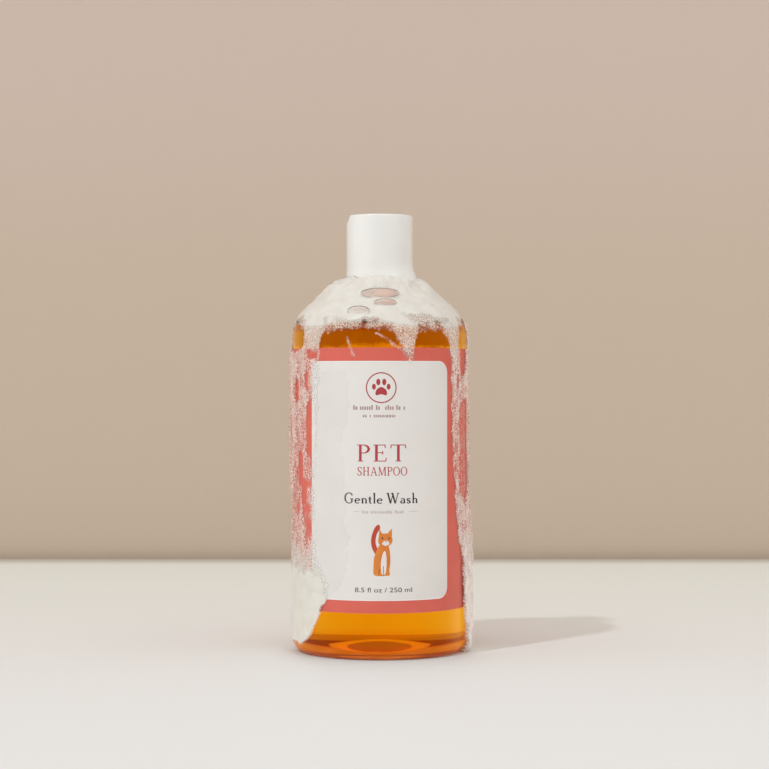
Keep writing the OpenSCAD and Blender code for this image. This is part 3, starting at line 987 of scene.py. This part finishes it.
# the runs of lather down the sides of the front, by height: cover, edge by angle, gaps, depth at the
# side, how softly the edge ends, and where it is raised
leftRun = {
    "cover": [(0, 1.1), (23, 1.1), (31, 0.78), (38, 0.46), (55, 0.35), (70, 0.37), (84, 0.46), (96, 0.52),
              (108, 0.7)],
    "edge": [(0.3, -76), (1, -71), (3.5, -58.5), (8.4, -47), (15.4, -41.2), (19.5, -34.7), (23, -33),
             (28, -37), (34, -43), (44, -45), (60, -45.5), (84, -43), (95, -41.5), (100, -42), (108, -37)],
    "back": -112,
    "gaps": [(-50.5, 74, 1.9, 9.0, 0.6), (-49, 98.4, 2.3, 1.6, 0.6), (-68, 87, 1.4, 4.0, 0.5),
             (-62, 61, 1.7, 5.5, 0.55), (-57.5, 53, 1.5, 4.5, 0.55), (-76, 104.0, 9.4, 4.4, 1.2),
             (-55, 90, 1.2, 3.0, 0.35), (-54, 44, 2.2, 7, 0.22), (-80, 70, 2, 9, 0.35), (-95, 90, 4, 8, 0.5),
             (-100, 60, 4, 12, 0.5)],
    "foot": (3.4, 4.8),
    "edgeDepth": [(0, 0.05), (45, 0.15), (58, 0.8), (95, 0.9), (106, 0.2)],
    "soft": [(0, 0.6), (18, 0.6), (23, 4.0), (42, 3.0), (60, 0.8), (108, 0.6)],
    "raised": (-20, -12),
}
rightRun = {
    "cover": [(0, 0.95), (20, 0.95), (32, 0.8), (46, 0.52), (60, 0.46), (80, 0.46), (88, 0.54), (98, 0.52),
              (108, 0.7)],
    "edge": [(0.3, 76), (7, 73.5), (19.7, 69.6), (32.5, 67.5), (40.5, 61), (51.7, 58), (67.5, 54.6),
             (83.4, 53.4), (99.5, 52.2), (108, 50)],
    "back": 112,
    "gaps": [(70, 96.5, 2.8, 5.0, 0.6), (73, 75, 4.9, 8.5, 0.66), (73, 60, 4.9, 9.0, 0.66),
             (71, 104.2, 5.3, 4.2, 1.2), (62, 90, 1.0, 3, 0.3), (97, 80, 4, 16, 0.4), (100, 40, 4, 10, 0.3)],
    "foot": (0.4, 1.2),
    "edgeDepth": [(0, 1.4), (36, 1.5), (54, 0.6), (108, 0.5)],
    "soft": [(0, 0.6), (108, 0.6)],
    "raised": (-40, -24),
}


def runAmount(run, side, angle, z):
    a = angle * side
    inner = between([(h, e * side) for h, e in run["edge"]], z)
    far = math.radians(a - inner) * filmR + 1.0 * ripple(z / 3.6, 0, 1, 4) + 0.6 * ripple(z / 1.3, 0, 1, 6)
    back = math.radians(run["back"] * side - a) * filmR + 2.5 * ripple(z / 7, 0, 1, 5)
    ends = smoothBlend(far, -0.4, between(run["soft"], z))
    cover = between(run["cover"], z) * ends * smoothBlend(back, 0, 6)
    streak = 0.22 * ripple(math.radians(angle) * filmR / 1.7, z / 9, 1, 2)
    cover += streak * min(1, cover * 2) * (1 - smoothBlend(cover, 0.5, 1.0))
    cover -= spot(angle, z, run["gaps"])
    cover *= smoothBlend(z + 0.8 * ripple(angle / 5, 0, 1, 16), *run["foot"])
    flat = smoothBlend(-a, -50, -46) * smoothBlend(z, 19, 21)  # thin on the panel
    atSide = between(run["edgeDepth"], z) * smoothBlend(a, 62, 82)
    return cover, 0.3 - 0.24 * flat + atSide + 0.3 * smoothBlend(-z, *run["raised"])


# small drips and smears on the front: (angle, height, half width) from end to end, with how much they cover
drips = [
    ([(-2, 104.8, 0.5), (4, 103.2, 0.6), (9, 101.2, 0.55), (14, 99.6, 0.6), (18, 99.2, 0.8)], 0.33),
    ([(-21, 103.6, 0.45), (-19, 100.8, 0.5), (-17, 98.4, 0.7), (-15.5, 97.4, 0.5)], 0.32),
    ([(17, 101, 1.9), (18.5, 97.6, 2.0), (19, 96.4, 1.3)], 0.3),
]


def dripAmount(angle, z, r):
    best = 0.0
    for points, amount in drips:
        for (a1, z1, w1), (a2, z2, w2) in zip(points, points[1:]):
            ax, bx = math.radians(a1 - angle) * r, math.radians(a2 - angle) * r
            az, dx, dz = z1 - z, bx - ax, z2 - z1
            k = max(0, min(1, -(ax * dx + az * dz) / (dx * dx + dz * dz)))
            gap = math.hypot(ax + dx * k, az + dz * k) / (w1 + (w2 - w1) * k)
            gap += 0.5 * ripple(angle / 2, z / 0.8, 1, 15)
            best = max(best, amount * (1 - smoothBlend(gap, 0.3, 1.5)))
    return best, 0.25


def skinAmount(angle, z, r):
    # a wet skin on the left of the panel, its right edge wavy and its foot slanting
    edge = -24 + 6 * ripple(z / 15, 0, 1, 17) + 3 * ripple(z / 4, 0, 1, 18)
    foot = 24.6 + (angle + 24) * 0.364 + 0.5 * ripple(angle / 3, 0, 1, 19)
    cover = smoothBlend(-angle, -edge - 1, -edge + 1) * smoothBlend(z, foot - 0.4, foot + 0.6)
    return 0.5 * cover * smoothBlend(-z, -93, -90), 0.05


def makeLather():
    latherSheet("lather_collar", latherDense, (-180, 180), (95, 118.75), 0.55, collarAmount, 1.0)
    latherSheet("lather_left_run", latherLace, (-118, -28), (0.35, 108.5), 0.5,
                lambda a, z, r: runAmount(leftRun, -1, a, z), 2.0)
    latherSheet("lather_right_run", latherShadeSideLit, (48, 118), (0.35, 108.5), 0.5,
                lambda a, z, r: runAmount(rightRun, 1, a, z), 3.0)
    latherSheet("lather_drips", latherLace, (-26, 30), (92, 106), 0.35, dripAmount, 5.0)
    latherSheet("lather_wet_skin", wetSkin, (-46, -16), (19, 94), 0.7, skinAmount, 6.0)
    print("lather sheets made")


def capLather():
    # a wet film that sweeps up from the shoulder onto the foot of the cap, highest on its right
    foot = {"low": 120.5, "cell": 0.5, "rows": 22, "rise": 2.7, "least": 0.25, "reach": 125.5, "more": 5,
            "highest": 80, "gap": 0.015}
    piece = newGrid("lather_cap_foot", round(2 * math.pi * capR / foot["cell"]), foot["rows"])
    for v in piece.data.vertices:
        turn = math.pi * v.co.x
        lean = 0.5 + 0.5 * math.cos(turn - math.radians(foot["highest"]))
        reach = foot["reach"] + foot["more"] * lean
        z = foot["low"] + (reach - foot["low"]) * (v.co.y + 1) / 2
        around = Vector((capR * math.sin(turn), -capR * math.cos(turn), z))
        lumps = noise.noise(around / 3.4 + Vector((5, 0, 0)))
        deep = (foot["least"] + foot["rise"] * lean) * (1 - smoothBlend(z, 119.5, reach)) ** 1.5
        r = capR + foot["gap"] + deep * (1 + 0.12 * lumps)
        v.co = Vector((r * math.sin(turn), -r * math.cos(turn), z)) * mm
    editAll()
    bpy.ops.mesh.remove_doubles(threshold=2 * weld)
    leaveEdit()
    faceOut(piece)
    settle(piece, wetFilm, 180, body="cap_body")


def onSurface(angle, z, lift):
    # a place above the surface, and the directions across, up and out
    r, z, nr, nz = pathAt(lengthAt(z))
    turn = math.radians(angle)
    out = Vector((nr * math.sin(turn), -nr * math.cos(turn), nz))
    side = Vector((0, 0, 1)).cross(out).normalized()
    return Vector(((r + nr * lift) * math.sin(turn), -(r + nr * lift) * math.cos(turn), z + nz * lift)), \
        side, out.cross(side), out


def newBall(segments, rings, radius):
    clearSelection()
    bpy.ops.mesh.primitive_uv_sphere_add(segments=segments, ring_count=rings, radius=radius)
    return bpy.context.object


# large bubbles in the collar: angle, height, half width, half height, lift, and how rosy the middle is
# and the rest, where the skin is painted with the pink seen through the bubble
windows = [(0.5, 116.6, 6.0, 2.1, 1.5, 0.85, 0.22), (-14.5, 111.5, 3.6, 1.7, 0.7, 0.16, 0.05),
           (4.5, 114.2, 3.6, 1.3, 0.8, 0.6, 0.25)]


def makeWindows():
    # each has a skin, pressed flat and painted with the pink seen through the bubble, and a thick rim
    # with painted shade that shows along the top
    for i, (angle, z, wide, tall, lift, rosy, faint) in enumerate(windows):
        place, side, up, out = onSurface(angle, z, lift)
        turn = math.radians(28)  # the skin leans back less than the shoulder under it
        up, out = up * math.cos(turn) + out * math.sin(turn), out * math.cos(turn) - up * math.sin(turn)
        skin = newBall(48, 24, 1)
        skin.name = skin.data.name = "lather_window_%d" % (i + 1)
        clearSelection()
        bpy.ops.mesh.primitive_torus_add(major_radius=1, minor_radius=0.08, major_segments=64,
                                         minor_segments=8)
        rim = named("lather_window_rim_%d" % (i + 1))
        for piece, thick, material in ((skin, 0.3, bubbleWindow), (rim, 1.5, bubbleRimShade)):
            covers = []
            for v in piece.data.vertices:
                x, y = v.co.x, v.co.y
                if piece == skin:
                    # the painted pink is most solid in the middle
                    middle = 1 - smoothBlend(math.hypot(x - 0.2, 0.7 * y), 0.25, 0.85)
                    covers.append(faint + (rosy - faint) * middle)
                else:
                    # the rim's painted shade is darkest along the top
                    covers.append(0.12 + 0.75 * smoothBlend(y + 0.15 * ripple(x, y, 0.4, 20), 0.1, 0.9))
                v.co = (place + side * x * wide + up * y * tall + out * v.co.z * thick) * mm
            setPoints(piece, "cover", covers)
            settle(piece, material, 60)


def makeBubbles():
    # single bubbles along the edges of the lather: one is made, copied into place, and the copies are joined
    clearSelection()
    bpy.ops.mesh.primitive_ico_sphere_add(subdivisions=2, radius=mm)
    small = bpy.context.object
    large = newBall(40, 20, mm)
    dice = random.Random(21)
    copies = []

    def add(pattern, angle, z, size, flat=0.75, wide=1.0, lift=0.35):
        place, side, up, out = onSurface(angle, z, lift + 0.25 * size)
        copy = pattern.copy()
        copy.data = pattern.data.copy()
        bpy.context.collection.objects.link(copy)
        for v in copy.data.vertices:
            v.co = place * mm + (side * v.co.x * wide + up * v.co.y + out * v.co.z * flat) * size
        copies.append(copy)

    for _ in range(120):
        angle = dice.uniform(-66, 66)
        add(small, angle, between(collar["edge"], angle) + dice.uniform(-1.0, 2.2), dice.uniform(0.2, 0.5))
    for angle, z, size, wide in ((-9, 109.4, 1.0, 1.2), (-24, 109.6, 0.8, 1.2), (34, 108.4, 1.0, 1.3),
                                 (22, 108.6, 0.9, 1.1)):
        add(large, angle, z, size, 0.6, wide)
    for _ in range(60):
        z = dice.uniform(36, 100)
        add(small, -60 + dice.uniform(-9, 12), z, dice.uniform(0.16, 0.36), lift=0.2)
        add(small, between(rightRun["edge"], z) + dice.uniform(-1.5, 6), z, dice.uniform(0.16, 0.34),
            lift=0.2)
    for pattern in (small, large):
        bpy.data.objects.remove(pattern)
    clearSelection()
    for copy in copies:
        copy.select_set(True)
    bpy.context.view_layer.objects.active = copies[0]
    bpy.ops.object.join()
    settle(named("lather_bubbles"), soapFilm, 180)


makeLather()
capLather()
makeWindows()
makeBubbles()
print("lather made")


# The table, the backdrop and the light

def tablePaint():
    # white, a little warmer towards its far edge, with painted shade darkening the last few cm at the backdrop
    material, tree, shader = newMaterial("tableTop")
    along = objectPlace(tree)[1]["Y"]
    tone = mixColor(tree, rangeNode(tree, along, -0.2, 0.33), (0.86, 0.857, 0.855), (0.825, 0.825, 0.775))
    tone = mixColor(tree, rangeNode(tree, along, 0.322, 0.362), tone, (0.52, 0.455, 0.39))
    grain = groupNode(tree, mouldedGrain, Color=tone, Shade=tone, Gloss=0.6, Grain_Size=300)
    setInputs(tree, shader, Base_Color=grain["Color"], Roughness=grain["Roughness"],
              Normal=bumped(tree, grain["Height"], 0.05, 0.00002))
    return material


def backdropPaint():
    # painted shade darkens its foot where it meets the table; higher up it is a little lighter and pinker,
    # and it is clear when seen from behind
    material, tree, shader = newMaterial("backdropPaint", Roughness=0.8)
    up = objectPlace(tree)[1]["Z"]
    tone = mixColor(tree, rangeNode(tree, up, 0.12, 0.26), (0.589, 0.472, 0.373), (0.62, 0.494, 0.425))
    tone = mixColor(tree, rangeNode(tree, up, -0.004, 0.008), (0.43, 0.34, 0.27), tone)
    setInputs(tree, shader, Base_Color=tone)
    behind = tree.nodes.new("ShaderNodeNewGeometry").outputs["Backfacing"]
    clear = tree.nodes.new("ShaderNodeBsdfTransparent").outputs[0]
    mixSurface(tree, behind, shader.outputs[0], clear)
    return material


def mixSurface(tree, factor, a, b):
    # one shader or the other, and on to the output
    mix = tree.nodes.new("ShaderNodeMixShader")
    for socket, value in zip(mix.inputs, (factor, a, b)):
        tree.links.new(value, socket)
    tree.links.new(mix.outputs[0], outputNode(tree).inputs["Surface"])
    return mix.outputs[0]


def stagePlane(name, material, location, scale, upright=0):
    clearSelection()
    bpy.ops.mesh.primitive_plane_add(size=1, rotation=(math.radians(upright), 0, 0), location=location)
    piece = named(name)
    piece.scale = scale
    applyPlace()
    piece.data.materials.append(material)


def makeStage():
    stage = {"farEdge": 360 * mm, "width": 3000 * mm, "near": 1600 * mm, "wall": 1.4, "middle": 0.6}
    far, near = stage["farEdge"], stage["near"]
    stagePlane("table", tablePaint(), (0, (far - near) / 2, 0), (stage["width"], far + near, 1))
    stagePlane("backdrop", backdropPaint(), (0, far, stage["middle"]), (stage["width"], stage["wall"], 1), 90)


def makeLight():
    light = {"around": 0.90, "sun": 0.75, "spread": 2.5, "way": (76, 89, -144), "color": (0.85, 0.96, 1.0)}
    world = bpy.data.worlds.new("studio")
    bpy.context.scene.world = world
    world.use_nodes = True
    tree = world.node_tree
    soft = setInputs(tree, tree.nodes["Background"], Color=(1.0, 0.98, 0.95), Strength=light["around"])
    seen = addNode(tree, "ShaderNodeBackground", Color=(0.60, 0.50, 0.42))
    # shiny surfaces see a bright side on the left and above, and a dim room in front
    direction = tree.nodes.new("ShaderNodeTexCoord").outputs["Generated"]
    way = addNode(tree, "ShaderNodeSeparateXYZ", Vector=direction).outputs
    leftSide = rangeNode(tree, mathNode(tree, "MULTIPLY", way["X"], -1.0), 0.25, 0.95)
    bright = mathNode(tree, "MAXIMUM", leftSide, rangeNode(tree, way["Z"], 0.45, 0.95))
    mirrored = addNode(tree, "ShaderNodeBackground",
                       Color=mixColor(tree, bright, (0.14, 0.13, 0.12), (0.95, 0.94, 0.92)))
    path = tree.nodes.new("ShaderNodeLightPath").outputs
    rays = mathNode(tree, "MAXIMUM", path["Is Camera Ray"], path["Is Transmission Ray"])
    shown = mixSurface(tree, path["Is Glossy Ray"], soft.outputs[0], mirrored.outputs[0])
    mixSurface(tree, rays, shown, seen.outputs[0])
    sun = bpy.data.objects.new("keyLight", bpy.data.lights.new("keyLight", "SUN"))
    bpy.context.collection.objects.link(sun)
    sun.data.energy, sun.data.angle = light["sun"], math.radians(light["spread"])
    sun.data.color = light["color"]
    sun.rotation_euler = Vector(light["way"]).to_track_quat("-Z", "Y").to_euler()


makeStage()
makeLight()
bpy.context.scene.view_settings.view_transform = "Standard"
print("stage and light made")
